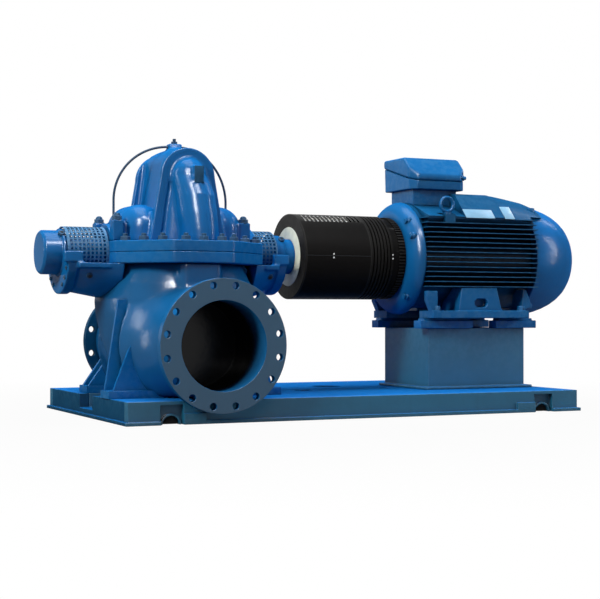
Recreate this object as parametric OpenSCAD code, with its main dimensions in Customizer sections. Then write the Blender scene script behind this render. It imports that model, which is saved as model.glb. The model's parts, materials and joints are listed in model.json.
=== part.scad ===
// Split case pump set: double suction pump, coupling guard and motor on one base.
// Millimetres, Z up, X along the shaft, origin at the centre of the base underside.

/* [Base] */
// Length of the base over its foot lip
base_l = 2068; // [1900:1:2300]
// Width of the base over its foot lip
base_w = 1148; // [1000:1:1300]
// Height of the base deck above the floor
base_h = 90; // [70:1:130]
// Thickness of the deck plate
deck_t = 20; // [12:1:40]
// Thickness of the side walls
wall_t = 44; // [36:1:70]
// Height of the foot lip
lip_h = 14; // [8:1:24]
// Reach of the foot lip past the walls
lip_w = 12; // [6:1:24]
// Width of the drain trough under the pump
trough_w = 190; // [120:1:260]
// Height of the trough floor
trough_z = 32; // [20:1:50]
// Length of the drain trough
trough_l = 300; // [200:1:500]
// Gap between the suction flange and the front of the base
flange_gap = 29; // [10:1:60]

/* [Pump placing] */
// Distance of the nozzle line from the base centre
pump_offset = 660; // [500:1:800]
// Height of the shaft above the floor
shaft_z = 670; // [600:1:760]
// Height of the nozzle line above the floor
nozzle_z = 300; // [296:1:340]

/* [Nozzles] */
// Distance of the suction face from the shaft
suction_face = 570; // [540:1:640]
// Distance of the discharge face from the shaft
discharge_face = 557; // [540:1:640]
// Diameter of the suction flange
suction_od = 520; // [500:1:540]
// Bore of the suction nozzle
suction_bore = 350; // [300:1:370]
// Bolt circle of the suction flange
suction_pcd = 470; // [455:1:480]
// Number of suction flange holes
suction_holes = 16; // [12:4:20]
// Diameter of the discharge flange
discharge_od = 460; // [440:1:480]
// Bore of the discharge nozzle
discharge_bore = 300; // [260:1:310]
// Bolt circle of the discharge flange
discharge_pcd = 410; // [400:1:420]
// Number of discharge flange holes
discharge_holes = 12; // [8:4:16]
// Diameter of the flange holes
flange_hole_d = 28; // [22:1:30]
// Thickness of the flanges
flange_t = 32; // [24:1:40]
// Wall of the nozzle necks
neck_wall = 29; // [22:1:36]
// Depth of the nozzle bores
bore_depth = 320; // [240:1:340]

/* [Casing] */
// Length of the split flange from the nozzle line to its outboard end
split_half_l = 314; // [300:1:340]
// Length of the split flange from the nozzle line to its drive end
split_drive_l = 336; // [310:1:350]
// Half width of the split flange at the middle
split_half_w = 350; // [330:1:380]
// Half width of the split flange at its ends
split_end_w = 164; // [150:1:190]
// Half length of the front edge of the split flange
split_mid_l = 128; // [110:1:150]
// Thickness of each split flange
split_t = 45; // [36:1:60]
// Corner radius of the split flange
split_r = 40; // [20:1:60]
// Half width of the volute hood at its foot
hood_half_w = 164; // [150:1:175]
// Radius of the hood crown
hood_r = 117; // [110:1:130]
// Height of the hood above the shaft
hood_h = 430; // [400:1:460]
// Half length of the hood across the shaft
hood_half = 170; // [150:1:190]
// Width of the arch ribs along the hood
arch_t = 30; // [20:1:40]
// Radius of the suction domes
dome_r = 95; // [80:1:110]
// Distance of the domes from the nozzle line
dome_x = 172; // [160:1:190]
// Half spread of each dome across the shaft
dome_y = 60; // [40:1:90]

/* [Bearings] */
// Radius of the bearing housings
housing_r = 89; // [80:1:100]
// End of the outboard bearing cap from the nozzle line
cap_end = 576; // [560:1:610]
// End of the bearing brackets from the nozzle line
bracket_end = 497; // [490:1:520]
// Radius of the bracket end ring
bracket_ring_r = 168; // [150:1:180]
// Length of the bracket end ring
bracket_ring_l = 40; // [30:1:60]
// Radius of the seal mesh
mesh_r = 106; // [100:1:115]
// Inner end of the bearing housing
mesh_end = 484; // [470:1:490]
// Inner end of the drive end bearing housing
mesh_drive_end = 428; // [410:1:450]
// Thickness of the mesh sheet
mesh_t = 3; // [2:0.5:5]
// Pitch of the mesh holes
mesh_pitch = 17; // [14:0.5:24]
// Width of the mesh holes
mesh_hole = 11; // [7:0.5:13]
// End of the drive end bracket from the nozzle line
bracket_drive_end = 446; // [440:1:460]
// Outer end of the drive end bearing housing
housing_drive_end = 478; // [470:1:500]
// Radius of the drive end bearing cover
cover_r = 75; // [66:1:80]

/* [Guard] */
// Start of the coupling guard from the nozzle line
guard_x0 = 522; // [505:1:560]
// End of the smooth part of the guard
guard_x1 = 836; // [800:1:860]
// Length of the ribbed part of the guard
guard_rib_l = 114; // [80:1:140]
// Radius of the guard
guard_r = 185; // [170:1:200]
// Radius of the opening in the guard end
guard_hole_r = 128; // [110:1:140]
// Thickness of the guard sheet
guard_t = 5; // [3:0.5:8]
// Number of slots in a row
slot_count = 14; // [8:1:16]
// Pitch of the slots
slot_pitch = 16; // [12:1:20]
// Number of teeth at the motor end of the guard
guard_teeth = 80; // [40:4:100]
// Number of ring ribs
guard_ribs = 7; // [4:1:10]

/* [Motor] */
// Front face of the drive end bracket from the nozzle line
motor_x0 = 1010; // [1000:1:1030]
// Start of the finned frame
frame_x0 = 1072; // [1060:1:1085]
// End of the finned frame
frame_x1 = 1640; // [1620:1:1660]
// End of the fan cowl
cowl_x1 = 1905; // [1870:1:1940]
// Radius of the motor frame core
core_r = 222; // [210:1:235]
// Distance of the fin tips from the shaft
fin_y = 268; // [258:1:280]
// Number of side fins
fin_count = 15; // [10:1:18]
// Thickness of a fin
fin_t = 4; // [3.5:0.5:7]
// Pitch of the fins
fin_pitch = 21.5; // [19:0.5:23]
// Radius of the fan cowl at its rim
cowl_rim_r = 258; // [245:1:264]
// Radius of the flat end of the fan cowl
cowl_end_r = 140; // [120:1:160]
// Height of the motor feet above the floor
motor_foot_z = 402; // [380:1:430]
// Thickness of the motor feet
motor_foot_t = 34; // [24:1:40]

/* [Pedestal] */
// Start of the pedestal from the nozzle line
ped_x0 = 1107; // [1090:1:1130]
// End of the pedestal from the nozzle line
ped_x1 = 1605; // [1560:1:1625]
// Width of the pedestal
ped_w = 402; // [380:1:440]
// Height of the pedestal top above the floor
ped_z = 358; // [330:1:370]

/* [Hidden] */
$fn = 64;
base_shift = base_w / 2 - suction_face + flange_t + flange_gap;
wall_l = base_l - 2 * lip_w;
wall_w = base_w - 2 * lip_w;
neck_r_s = suction_bore / 2 + neck_wall;
neck_r_d = discharge_bore / 2 + neck_wall;
slab_t = 34;
slab_w = 62;
blue = [0.10, 0.32, 0.58];
black = [0.10, 0.09, 0.09];
dark_grey = [0.30, 0.31, 0.33];
cream = [0.86, 0.84, 0.78];
steel = [0.25, 0.30, 0.36];
split_z = shaft_z - split_t;
rib_gap = base_l / 3.4;
pocket_in = wall_l / 2 - 222;
pocket_out = wall_l / 2 - 130;
hole_x = (pocket_in + pocket_out) / 2;
crown_rise = 12;
crown_r = 530;
vent_half = 28;
vent_top = hood_h + 32;
tube_bend = 226;
tube_r = 5;
tube_y = 46;
barrel_r = 120;
sleeve_r = 62;
pad_half = 23;
pad_h = 85;
pad_x = [26 - split_half_l, split_drive_l - 74];
pad_y = 122;
pot_bottom = base_h + 6;
// Share of the greatest radius and share of the height for each point of the casing wall
pot_shape = [[0.47, 0], [0.58, 0.045], [0.69, 0.13], [0.78, 0.217], [0.85, 0.311], [0.91, 0.42],
  [0.96, 0.541], [0.99, 0.63], [1, 0.72], [0.97, 0.85], [0.90, 0.95], [0.87, 1]];
pot_r = split_half_l + 16;
foot_t = 30;
flange_clear = 8;
nut_room = 45;
// Place and radius of each grout hole in the deck
grout_holes = [[168, 180, 68], [-75, -88, 43], [358, -58, 43]];
gusset_t = 18;
foot_x0 = ped_x0 - 17;
foot_x1 = ped_x1 - 20;
neck_x0 = frame_x0 + 16;
cover_z = 290;
cover_top = 120;
cover_x1 = frame_x1 + 80;
bell_r = 252;
eye_x = frame_x0 + 118;
eye_z = 190;
term_x0 = frame_x0 - 7;
term_x1 = term_x0 + 286;
term_z = 306;
term_w = 135;
lid_cut = 34;
neck_x1 = term_x1 - 40;
neck_w = 100;
neck_z = 236;
cover_rise_x = term_x1 - 76;

function unit(v) = v / norm(v);
// Points of an arc that rounds the corner b between a and c
function corner(a, b, c, r, n = 6) =
  let (u = unit(a - b), v = unit(c - b), half = acos(u * v) / 2,
    m = b + unit(u + v) * r / sin(half), s = b + u * r / tan(half), e = b + v * r / tan(half),
    t0 = atan2(s[1] - m[1], s[0] - m[0]), t1 = atan2(e[1] - m[1], e[0] - m[0]),
    turn = (t1 - t0 + 540) % 360 - 180)
  [for (i = [0 : n]) m + r * [cos(t0 + turn * i / n), sin(t0 + turn * i / n)]];
function rounded(p, r) =
  [for (i = [0 : len(p) - 1]) each corner(p[(i + len(p) - 1) % len(p)], p[i], p[(i + 1) % len(p)], r)];

module at_pump() {
  translate([-pump_offset, 0, 0]) children();
}

module at_base() {
  translate([0, base_shift, 0]) children();
}

module rod_x(x0, x1, r) {
  translate([x0, 0, shaft_z]) rotate([0, 90, 0]) cylinder(r = r, h = x1 - x0);
}

module tube_x(x0, x1, r_out, r_in) {
  translate([x0, 0, shaft_z]) rotate([0, 90, 0]) difference() {
    cylinder(r = r_out, h = x1 - x0);
    translate([0, 0, -1]) cylinder(r = r_in, h = x1 - x0 + 2);
  }
}

// Turns a profile of radius against X about the shaft
module turned_x(points) {
  translate([0, 0, shaft_z]) rotate([0, 90, 0]) rotate_extrude() polygon([for (p = points) [p[1], p[0]]]);
}

module box(x0, x1, y0, y1, z0, z1) {
  translate([x0, y0, z0]) cube([x1 - x0, y1 - y0, z1 - z0]);
}

// Profile in X and Z, extruded from y0 to y1
module slice_y(y0, y1) {
  translate([0, y1, 0]) rotate([90, 0, 0]) linear_extrude(y1 - y0) children();
}

// Profile in Y and height above the shaft, extruded from x0 to x1
module slice_x(x0, x1) {
  translate([x0, 0, shaft_z]) rotate([90, 0, 90]) linear_extrude(x1 - x0) children();
}

// Base

// Room for the discharge flange, its nuts and its pipe above the deck
module discharge_room() {
  at_pump() translate([0, discharge_face - flange_t - nut_room, nozzle_z]) rotate([-90, 0, 0])
    cylinder(r = discharge_od / 2 + flange_clear, h = base_w);
}

module long_wall() {
  difference() {
    union() {
      box(-wall_l / 2, wall_l / 2, -wall_w / 2, -wall_w / 2 + wall_t, 0, base_h);
      box(-base_l / 2, base_l / 2, -base_w / 2, -wall_w / 2, 0, lip_h);
    }
    for (s = [-1, 1]) {
      xa = min(s * pocket_in, s * pocket_out);
      box(xa, xa + pocket_out - pocket_in, -base_w / 2 - 1, -wall_w / 2 + 24, -1, base_h - 14);
      translate([s * hole_x, 0, 0]) rotate([90, 0, 0]) cylinder(r = 34, h = base_w);
    }
  }
  for (s = [-1, 1]) {
    xa = min(s * (pocket_in - 91), s * pocket_in);
    box(xa, xa + 91, -base_w / 2, -wall_w / 2, lip_h, lip_h + 29);
    difference() {
      translate([s * hole_x, -wall_w / 2 + 24, 0]) rotate([90, 0, 0]) cylinder(r = 42, h = 14);
      translate([s * hole_x, 0, 0]) rotate([90, 0, 0]) cylinder(r = 34, h = base_w);
      box(-base_l, base_l, -base_w, base_w, -60, 0);
    }
  }
}

module base_front_wall() {
  color(blue) at_base() long_wall();
}

module base_rear_wall() {
  color(blue) difference() {
    at_base() mirror([0, 1, 0]) long_wall();
    discharge_room();
  }
}

module end_wall() {
  y1 = wall_w / 2 - wall_t;
  box(-wall_l / 2, -wall_l / 2 + wall_t, -y1, y1, 0, base_h);
  box(-base_l / 2, -wall_l / 2, -wall_w / 2, wall_w / 2, 0, lip_h);
}

module base_left_wall() {
  color(blue) at_base() difference() {
    end_wall();
    box(-base_l, 0, -trough_w / 2, trough_w / 2, trough_z, base_h + 1);
  }
}

module base_right_wall() {
  color(blue) at_base() mirror([1, 0, 0]) end_wall();
}

module base_trough() {
  x0 = -wall_l / 2 + wall_t;
  x1 = x0 + trough_l;
  color(blue) at_base() difference() {
    box(x0, x1 + 12, -trough_w / 2 - 12, trough_w / 2 + 12, trough_z - 12, base_h);
    box(x0 - 1, x1, -trough_w / 2, trough_w / 2, trough_z, base_h + 1);
  }
}

module base_deck() {
  x1 = wall_l / 2 - wall_t;
  y1 = wall_w / 2 - wall_t;
  color(blue) difference() {
    at_base() difference() {
      union() {
        box(-x1, x1, -y1, y1, base_h - deck_t, base_h);
        for (x = [-rib_gap, 0, rib_gap]) box(x - 25, x + 25, -y1, y1, 0, base_h - deck_t);
      }
      box(-x1 - 1, -x1 + trough_l + 12, -trough_w / 2 - 12, trough_w / 2 + 12, trough_z - 12, base_h + 1);
      for (hole = grout_holes) translate([hole[0], hole[1], base_h - deck_t]) cylinder(r = hole[2], h = base_h);
    }
    discharge_room();
  }
}

// Pump casing

module pot() {
  h = split_z - pot_bottom;
  rotate_extrude() polygon(concat([[0, pot_bottom]],
    [for (p = pot_shape) [pot_r * p[0], pot_bottom + h * p[1]]], [[0, split_z]]));
}

// Bell from a nozzle neck into the casing, r0 at y0 growing to r1 at y1
module bell(y0, y1, r0, r1) {
  intersection() {
    translate([0, 0, nozzle_z]) rotate([-90, 0, 0]) rotate_extrude()
      polygon(concat([[0, y0]], [for (i = [0 : 8]) [r0 + (r1 - r0) * pow(i / 8, 2), y0 + (y1 - y0) * i / 8]],
        [[0, y1]]));
    box(-pot_r, pot_r, -suction_face, suction_face, pot_bottom, split_z);
  }
}

module nozzle_plug(face, r) {
  translate([0, -face, nozzle_z]) rotate([-90, 0, 0]) cylinder(r = r, h = bore_depth);
}

// Volute chin under the front and back edge of the split flange
module chin() {
  w = split_mid_l - 38;
  y = split_half_w - 15;
  translate([0, 0, nozzle_z + 120]) linear_extrude(split_z - nozzle_z - 120)
    polygon(rounded([[-w, -y], [w, -y], [w, y], [-w, y]], 34));
}

module casing_outer() {
  pot();
  chin();
  bell(-suction_face + 115, -200, neck_r_s + 2, pot_r - 20);
  mirror([0, 1, 0]) bell(-discharge_face + 90, -170, neck_r_d + 2, pot_r - 50);
}

module pump_lower_casing() {
  color(blue) at_pump() difference() {
    casing_outer();
    nozzle_plug(suction_face, neck_r_s);
    mirror([0, 1, 0]) nozzle_plug(discharge_face, neck_r_d);
  }
}

module nozzle(face, od, bore, neck_r, pcd, holes) {
  translate([0, -face, nozzle_z]) rotate([-90, 0, 0]) difference() {
    union() {
      cylinder(r = od / 2, h = flange_t);
      cylinder(r = neck_r, h = bore_depth);
    }
    translate([0, 0, -1]) cylinder(r = bore / 2, h = bore_depth + 2);
    for (i = [0 : holes - 1])
      rotate([0, 0, (i + 0.5) * 360 / holes]) translate([pcd / 2, 0, -1])
        cylinder(d = flange_hole_d, h = flange_t + 2);
  }
}

module suction_nozzle() {
  color(blue) at_pump() nozzle(suction_face, suction_od, suction_bore, neck_r_s, suction_pcd, suction_holes);
}

module discharge_nozzle() {
  color(blue) at_pump() mirror([0, 1, 0])
    nozzle(discharge_face, discharge_od, discharge_bore, neck_r_d, discharge_pcd, discharge_holes);
}

module split_plate() {
  polygon(rounded([[split_mid_l, -split_half_w], [split_drive_l, -split_end_w], [split_drive_l, split_end_w],
    [split_mid_l, split_half_w], [-split_mid_l, split_half_w], [-split_half_l, split_end_w],
    [-split_half_l, -split_end_w], [-split_mid_l, -split_half_w]], split_r));
}

module lower_split_flange() {
  color(blue) at_pump() translate([0, 0, split_z]) linear_extrude(split_t) split_plate();
}

module upper_split_flange() {
  color(blue) at_pump() translate([0, 0, shaft_z]) linear_extrude(split_t) split_plate();
}

// Arch profile above the shaft, foot half width w, crown radius r, height h
module arch(w, r, h) {
  translate([0, h - r]) circle(r);
  polygon([[-w, split_t], [w, split_t], [r, h - r], [-r, h - r]]);
}

// Rounded finger of the volute, leaning out from its top below the arch to a foot at x, y on the flange
module finger(top_y, top_z, r, foot_x, foot_y) {
  out = [foot_x, foot_y - top_y];
  drop = top_z - split_t;
  intersection() {
    translate([0, top_y, top_z]) {
      sphere(r);
      rotate([0, atan2(norm(out), -drop), atan2(out[1], out[0])])
        cylinder(r1 = r - 1, r2 = r + 8, h = 1.3 * norm([out[0], out[1], drop]));
    }
    box(-200, 200, -split_half_w, split_half_w, split_t, top_z + r + 1);
  }
}

// Arch rib at the front end of the hood, hollowed in front of the volute
module arch_rib() {
  difference() {
    slice_y(-hood_half, -hood_half + arch_t) arch(hood_half_w, hood_r, hood_h);
    slice_y(-hood_half - 1, -hood_half + 16) arch(hood_half_w - 46, hood_r - 38, hood_h - 38);
  }
}

module hood() {
  intersection() {
    slice_y(-hood_half + arch_t - 2, hood_half - arch_t + 2) arch(hood_half_w - 42, hood_r - 36, hood_h + crown_rise);
    translate([-300, 0, hood_h + crown_rise - crown_r]) rotate([0, 90, 0])
      cylinder(r = crown_r, h = 600, $fn = 128);
  }
  for (s = [0, 1]) mirror([0, s, 0]) {
    arch_rib();
    finger(-hood_half + 20, hood_h - 114, 72, 27, -split_half_w + 78);
  }
  box(8, 48, -hood_half - 62, -hood_half + 20, hood_h - 154, hood_h - 79);
}

module suction_dome(split_l) {
  top = split_t + 59;
  intersection() {
    union() {
      for (y = [-dome_y, dome_y]) {
        translate([-dome_x, y, top]) sphere(dome_r);
        translate([-dome_x, y, 0]) cylinder(r = dome_r, h = top);
      }
      translate([-dome_x, -dome_y, top]) rotate([-90, 0, 0]) cylinder(r = dome_r, h = 2 * dome_y);
      box(-dome_x - dome_r, -dome_x + dome_r, -dome_y, dome_y, 0, top);
      translate([-split_l + 8, 0, 0]) rotate([0, 90, 0]) cylinder(r = barrel_r, h = 120);
    }
    box(-split_l, 0, -split_half_w, split_half_w, split_t, hood_h);
  }
}

module pump_upper_casing() {
  color(blue) at_pump() translate([0, 0, shaft_z]) {
    hood();
    box(-vent_half, vent_half, -22, 22, hood_h - 40, vent_top);
    suction_dome(split_half_l);
    mirror([1, 0, 0]) suction_dome(split_drive_l);
    for (x = pad_x)
      for (y = [-pad_y, pad_y])
        box(x - pad_half, x + pad_half, y - pad_half, y + pad_half, split_t, split_t + pad_h);
  }
}

module vent_plug() {
  color(steel) at_pump() translate([0, 0, shaft_z + vent_top]) {
    cylinder(r = 14, h = 10, $fn = 6);
    cylinder(r = 7, h = 22);
  }
}

// Seal flush line from the vent block over the hood and down to the seal barrel
module flush_tube(split_l) {
  reach = barrel_r - 2.5;
  drop = vent_top - 13 - tube_bend - reach;
  difference() {
    translate([vent_half, 0, shaft_z + vent_top - 13 - tube_bend]) rotate([0, 0, atan2(tube_y, tube_bend)]) {
      rotate([90, 0, 0]) rotate_extrude(angle = 90) translate([tube_bend, 0]) circle(tube_r);
      translate([tube_bend, 0, -drop]) cylinder(r = tube_r, h = drop);
    }
    translate([0, 0, shaft_z]) mirror([1, 0, 0]) suction_dome(split_l);
  }
}

module flush_tube_left() {
  color(steel) at_pump() mirror([1, 0, 0]) flush_tube(split_half_l);
}

module flush_tube_right() {
  color(steel) at_pump() flush_tube(split_drive_l);
}

// Pump feet

module gusset(y, points) {
  slice_y(y - gusset_t / 2, y + gusset_t / 2) polygon(points);
}

module front_foot() {
  z0 = base_h + foot_t;
  box(-368, -130, -275, -165, base_h, z0);
  gusset(-245, [[-342, z0], [-273, nozzle_z - 2], [-150, nozzle_z - 2], [-150, z0]]);
  gusset(-185, [[-359, z0], [-303, split_z - 145], [-200, split_z - 145], [-200, z0]]);
}

module rear_foot() {
  z0 = base_h + foot_t;
  box(-328, -130, 165, 275, base_h, z0);
  gusset(245, [[-322, z0], [-226, nozzle_z - 45], [-120, nozzle_z - 45], [-120, z0]]);
  gusset(185, [[-316, z0], [-220, nozzle_z - 45], [-120, nozzle_z - 45], [-120, z0]]);
}

// Trims a foot to the casing it carries
module trimmed() {
  difference() {
    children();
    casing_outer();
    nozzle_plug(suction_face, neck_r_s);
    mirror([0, 1, 0]) nozzle_plug(discharge_face, neck_r_d);
  }
}

module foot_front_left() {
  color(blue) at_pump() trimmed() front_foot();
}

module foot_rear_left() {
  color(blue) at_pump() trimmed() rear_foot();
}

module foot_front_right() {
  color(blue) at_pump() mirror([1, 0, 0]) trimmed() front_foot();
}

module foot_rear_right() {
  color(blue) at_pump() mirror([1, 0, 0]) trimmed() rear_foot();
}

// Bearings, built on the outboard side and mirrored for the inboard side

module bracket(end, lug_end, split_l, mesh_in) {
  ring_in = end - bracket_ring_l;
  difference() {
    union() {
      intersection() {
        rod_x(-end, -ring_in, bracket_ring_r);
        box(-end, 0, -bracket_ring_r, bracket_ring_r, 0, shaft_z);
      }
      intersection() {
        turned_x([[-ring_in, 0], [-ring_in, bracket_ring_r - 10], [-split_l + 40, bracket_ring_r + 24],
          [-split_l + 40, 0]]);
        box(-end, 0, -220, 220, 0, split_z);
      }
      for (y = [-bracket_ring_r, bracket_ring_r - 26])
        box(-lug_end, -ring_in + 20, y, y + 26, split_z + 4, shaft_z);
      intersection() {
        box(-ring_in, -split_l - 10, -bracket_ring_r - 6, bracket_ring_r + 6, split_z - 20, split_z);
        box(-end, 0, -220, 220, 0, shaft_z);
      }
    }
    rod_x(-end - 1, -ring_in + 1, housing_r);
    rod_x(-mesh_in - 14, -mesh_in, housing_r + 7);
    rod_x(-ring_in - 1, 0, mesh_r - mesh_t);
    intersection() {
      rod_x(-mesh_in, 0, mesh_r);
      box(-mesh_in, 0, -mesh_r - 1, mesh_r + 1, split_z, shaft_z + 1);
    }
    pot();
  }
}

module bracket_outboard() {
  color(blue) at_pump() bracket(bracket_end, bracket_end + 18, split_half_l, mesh_end);
}

module bracket_inboard() {
  color(blue) at_pump() mirror([1, 0, 0]) bracket(bracket_drive_end, bracket_drive_end + 8, split_drive_l, mesh_drive_end);
}

module bearing_outboard() {
  color(blue) at_pump()
    turned_x([[-cap_end, 0], [-cap_end, housing_r - 9], [-cap_end + 9, housing_r], [-mesh_end - 14, housing_r],
      [-mesh_end - 14, housing_r + 7], [-mesh_end, housing_r + 7], [-mesh_end, sleeve_r], [-split_half_l, sleeve_r],
      [-split_half_l, 0]]);
}

module bearing_inboard() {
  end = housing_drive_end;
  color(blue) at_pump()
    turned_x([[guard_x0 + 16, 0], [guard_x0 + 16, cover_r], [end, cover_r], [end, housing_r - 7],
      [end - 7, housing_r], [mesh_drive_end + 14, housing_r], [mesh_drive_end + 14, housing_r + 7],
      [mesh_drive_end, housing_r + 7], [mesh_drive_end, sleeve_r], [split_drive_l, sleeve_r], [split_drive_l, 0]]);
}

// Perforated sheet over a seal, in rows of square holes
module seal_mesh(end, split_l) {
  rows = floor((end - split_l - 6) / mesh_pitch);
  first = -end + (end - split_l - (rows - 1) * mesh_pitch - mesh_hole) / 2;
  low = -asin(split_t / mesh_r);
  steps = floor((180 - 2 * low) / 360 * 2 * PI * mesh_r / mesh_pitch);
  difference() {
    intersection() {
      tube_x(-end, -split_l, mesh_r, mesh_r - mesh_t);
      box(-end, 0, -2 * mesh_r, 2 * mesh_r, split_z, shaft_z + 2 * mesh_r);
    }
    for (i = [0 : rows - 1])
      slice_x(first + i * mesh_pitch, first + i * mesh_pitch + mesh_hole)
        for (k = [0 : steps - 1])
          rotate(low + (k + 0.5) * (180 - 2 * low) / steps) translate([mesh_r - 20, -mesh_hole / 2])
            square([40, mesh_hole]);
  }
}

module seal_mesh_outboard() {
  color(steel) at_pump() seal_mesh(mesh_end, split_half_l);
}

module seal_mesh_inboard() {
  color(steel) at_pump() mirror([1, 0, 0]) seal_mesh(mesh_drive_end, split_drive_l);
}

// Coupling guard

module guard_shell() {
  color(black) at_pump() difference() {
    tube_x(guard_x0 + guard_t, guard_x1, guard_r, guard_r - guard_t);
    for (turn = [-30, -23, -16, 16, 23, 30])
      for (i = [0 : slot_count - 1])
        translate([guard_x0 + 28 + i * slot_pitch, 0, shaft_z]) rotate([turn, 0, 0])
          box(-slot_pitch * 0.28, slot_pitch * 0.28, -5, 5, guard_r - 20, guard_r + 20);
  }
}

module guard_bellows() {
  pitch = guard_rib_l / guard_ribs;
  core = guard_r - 9;
  color(black) at_pump() {
    tube_x(guard_x1, motor_x0, core, core - guard_t);
    for (i = [0 : guard_ribs - 1])
      tube_x(guard_x1 + i * pitch, guard_x1 + (i + 0.6) * pitch, guard_r, core - guard_t / 2);
    slice_x(motor_x0 - 34, motor_x0 - 4)
      for (i = [0 : guard_teeth - 1])
        rotate(i * 360 / guard_teeth) translate([core - guard_t / 2, -3]) square([8, 6]);
  }
}

module guard_end_ring() {
  color(dark_grey) at_pump() tube_x(guard_x0, guard_x0 + guard_t, guard_r, guard_hole_r);
}

module guard_end_liner() {
  color(cream) at_pump() tube_x(guard_x0, guard_x0 + guard_t, guard_hole_r, cover_r);
}

// Pedestal and slabs

module pedestal() {
  color(blue) at_pump() difference() {
    union() {
      box(ped_x0, ped_x1, -ped_w / 2, ped_w / 2, base_h, ped_z);
      box(ped_x0 - 20, ped_x1 + 30, -ped_w / 2 - 20, ped_w / 2 + 20, base_h, base_h + 12);
    }
    box(ped_x0 + 14, ped_x1 - 14, -ped_w / 2 + 14, ped_w / 2 - 14, base_h - 1, ped_z - 14);
  }
}

module slab(x0, x1, side) {
  at_pump() mirror([0, side, 0]) {
    box(x0, x1, -ped_w / 2 - 27, -ped_w / 2 - 27 + slab_w, ped_z, ped_z + slab_t);
    box(x0 + 18, x1 - 18, -ped_w / 2 - 20, -ped_w / 2 - 34 + slab_w, ped_z + slab_t, motor_foot_z);
  }
}

module slab_front_left() {
  color(blue) slab(ped_x0 - 54, ped_x0 + 214, 0);
}

module slab_front_right() {
  color(blue) slab(ped_x1 - 166, ped_x1 + 48, 0);
}

module slab_rear_left() {
  color(blue) slab(ped_x0 - 54, ped_x0 + 214, 1);
}

module slab_rear_right() {
  color(blue) slab(ped_x1 - 166, ped_x1 + 48, 1);
}

// Motor

// Cross section of the frame core and its side fins about the shaft
module fin_profile() {
  circle(core_r);
  first = -(fin_count - 1) / 2 * fin_pitch + 22;
  for (i = [0 : fin_count - 1]) {
    z = first + i * fin_pitch;
    reach = min(fin_y, sqrt(pow(fin_y + 27, 2) - z * z));
    translate([-reach, z - fin_t / 2]) square([2 * reach, fin_t]);
  }
}

// Cover over the frame, low beside the terminal neck and high from there to the fan cowl
module motor_cover() {
  difference() {
    intersection() {
      union() {
        slice_x(neck_x0, cover_rise_x + 1)
          polygon([[-neck_w, neck_z], [neck_w, neck_z], [243, 180], [200, 100], [-200, 100], [-243, 180]]);
        slice_x(cover_rise_x, cover_x1) polygon([[-cover_top, cover_z], [cover_top, cover_z],
          [cover_top + 30, cover_z - 10], [243, 180], [200, 100], [-200, 100], [-243, 180],
          [-cover_top - 30, cover_z - 10]]);
      }
      turned_x([[neck_x0, 0], [neck_x0, cover_z + 40], [frame_x1 - 240, cover_z + 40], [frame_x1 - 150, cover_z + 12],
        [frame_x1 - 60, cover_z - 2], [frame_x1 + 33, cover_z - 18], [cover_x1, cowl_rim_r - 1], [cover_x1, 0]]);
    }
    cowl_shape();
    box(frame_x1, cowl_x1, -fin_y, fin_y, shaft_z, shaft_z + 190);
    box(neck_x0 - 1, neck_x1, -neck_w, neck_w, shaft_z + neck_z, shaft_z + term_z);
  }
}

module motor_body() {
  slice_x(frame_x0, frame_x1) fin_profile();
  motor_cover();
  intersection() {
    rod_x(frame_x0, neck_x0, bell_r);
    box(frame_x0, frame_x1, -fin_y, fin_y, shaft_z + 150, shaft_z + bell_r);
  }
  box(eye_x - 25, eye_x + 25, -252, -180, shaft_z + 150, shaft_z + eye_z);
}

module motor_frame() {
  color(blue) at_pump() difference() {
    motor_body();
    box(eye_x - 42, eye_x + 42, -fin_y, -203, shaft_z + eye_z, shaft_z + eye_z + 90);
  }
}

// Rounded bell at the drive end
module motor_drive_end() {
  l = frame_x0 - motor_x0;
  color(blue) at_pump() turned_x(concat([[motor_x0, 0]],
    [for (a = [0 : 10 : 90]) [motor_x0 + l * (1 - cos(a)), bell_r - 66 + 66 * sin(a)]], [[frame_x0, 0]]));
}

module cowl_shape() {
  l = cowl_x1 - frame_x1;
  turned_x(concat([[frame_x1, 0]],
    [for (a = [0 : 9 : 90]) [frame_x1 + l * sin(a), cowl_end_r + (cowl_rim_r - cowl_end_r) * pow(cos(a), 1.15)]],
    [[cowl_x1, 0]]));
}

module motor_fan_cowl() {
  color(blue) at_pump() cowl_shape();
}

module motor_foot() {
  z1 = motor_foot_z + motor_foot_t;
  slot_x = foot_x0 + 251;
  slot_z = z1 + 33;
  face = -fin_y + 6;
  difference() {
    union() {
      box(foot_x0, foot_x1, -fin_y - 8, -150, motor_foot_z, z1);
      slice_y(face, -110) polygon([[slot_x - 114, z1], [slot_x - 99, shaft_z - 133], [slot_x + 82, shaft_z - 133],
        [slot_x + 108, z1]]);
      slice_y(face, face + 34) polygon([[foot_x0, z1], [foot_x0 - 20, shaft_z - 190], [foot_x0 - 20, shaft_z - 148],
        [foot_x0 + 30, shaft_z - 148], [foot_x0 + 30, z1]]);
      slice_y(face + 26, -150) polygon([[foot_x1 - 14, z1], [foot_x1 - 6, shaft_z - 140], [foot_x1 + 10, shaft_z - 140],
        [foot_x1 + 36, shaft_z - 204], [foot_x1 + 36, shaft_z - 216], [foot_x1, z1]]);
    }
    rod_x(foot_x0, frame_x1, core_r);
    rod_x(0, frame_x0, bell_r);
    for (x = [-14, 14]) translate([slot_x + x, face + 32, slot_z]) rotate([90, 0, 0]) cylinder(r = 19, h = 60);
    box(slot_x - 14, slot_x + 14, face - 28, face + 32, slot_z - 19, slot_z + 19);
  }
}

module motor_foot_front() {
  color(blue) at_pump() motor_foot();
}

module motor_foot_rear() {
  color(blue) at_pump() mirror([0, 1, 0]) motor_foot();
}

module terminal_plinth() {
  color(blue) at_pump() {
    box(neck_x0, neck_x1, -neck_w, neck_w, shaft_z + neck_z, shaft_z + term_z);
  }
}

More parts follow.
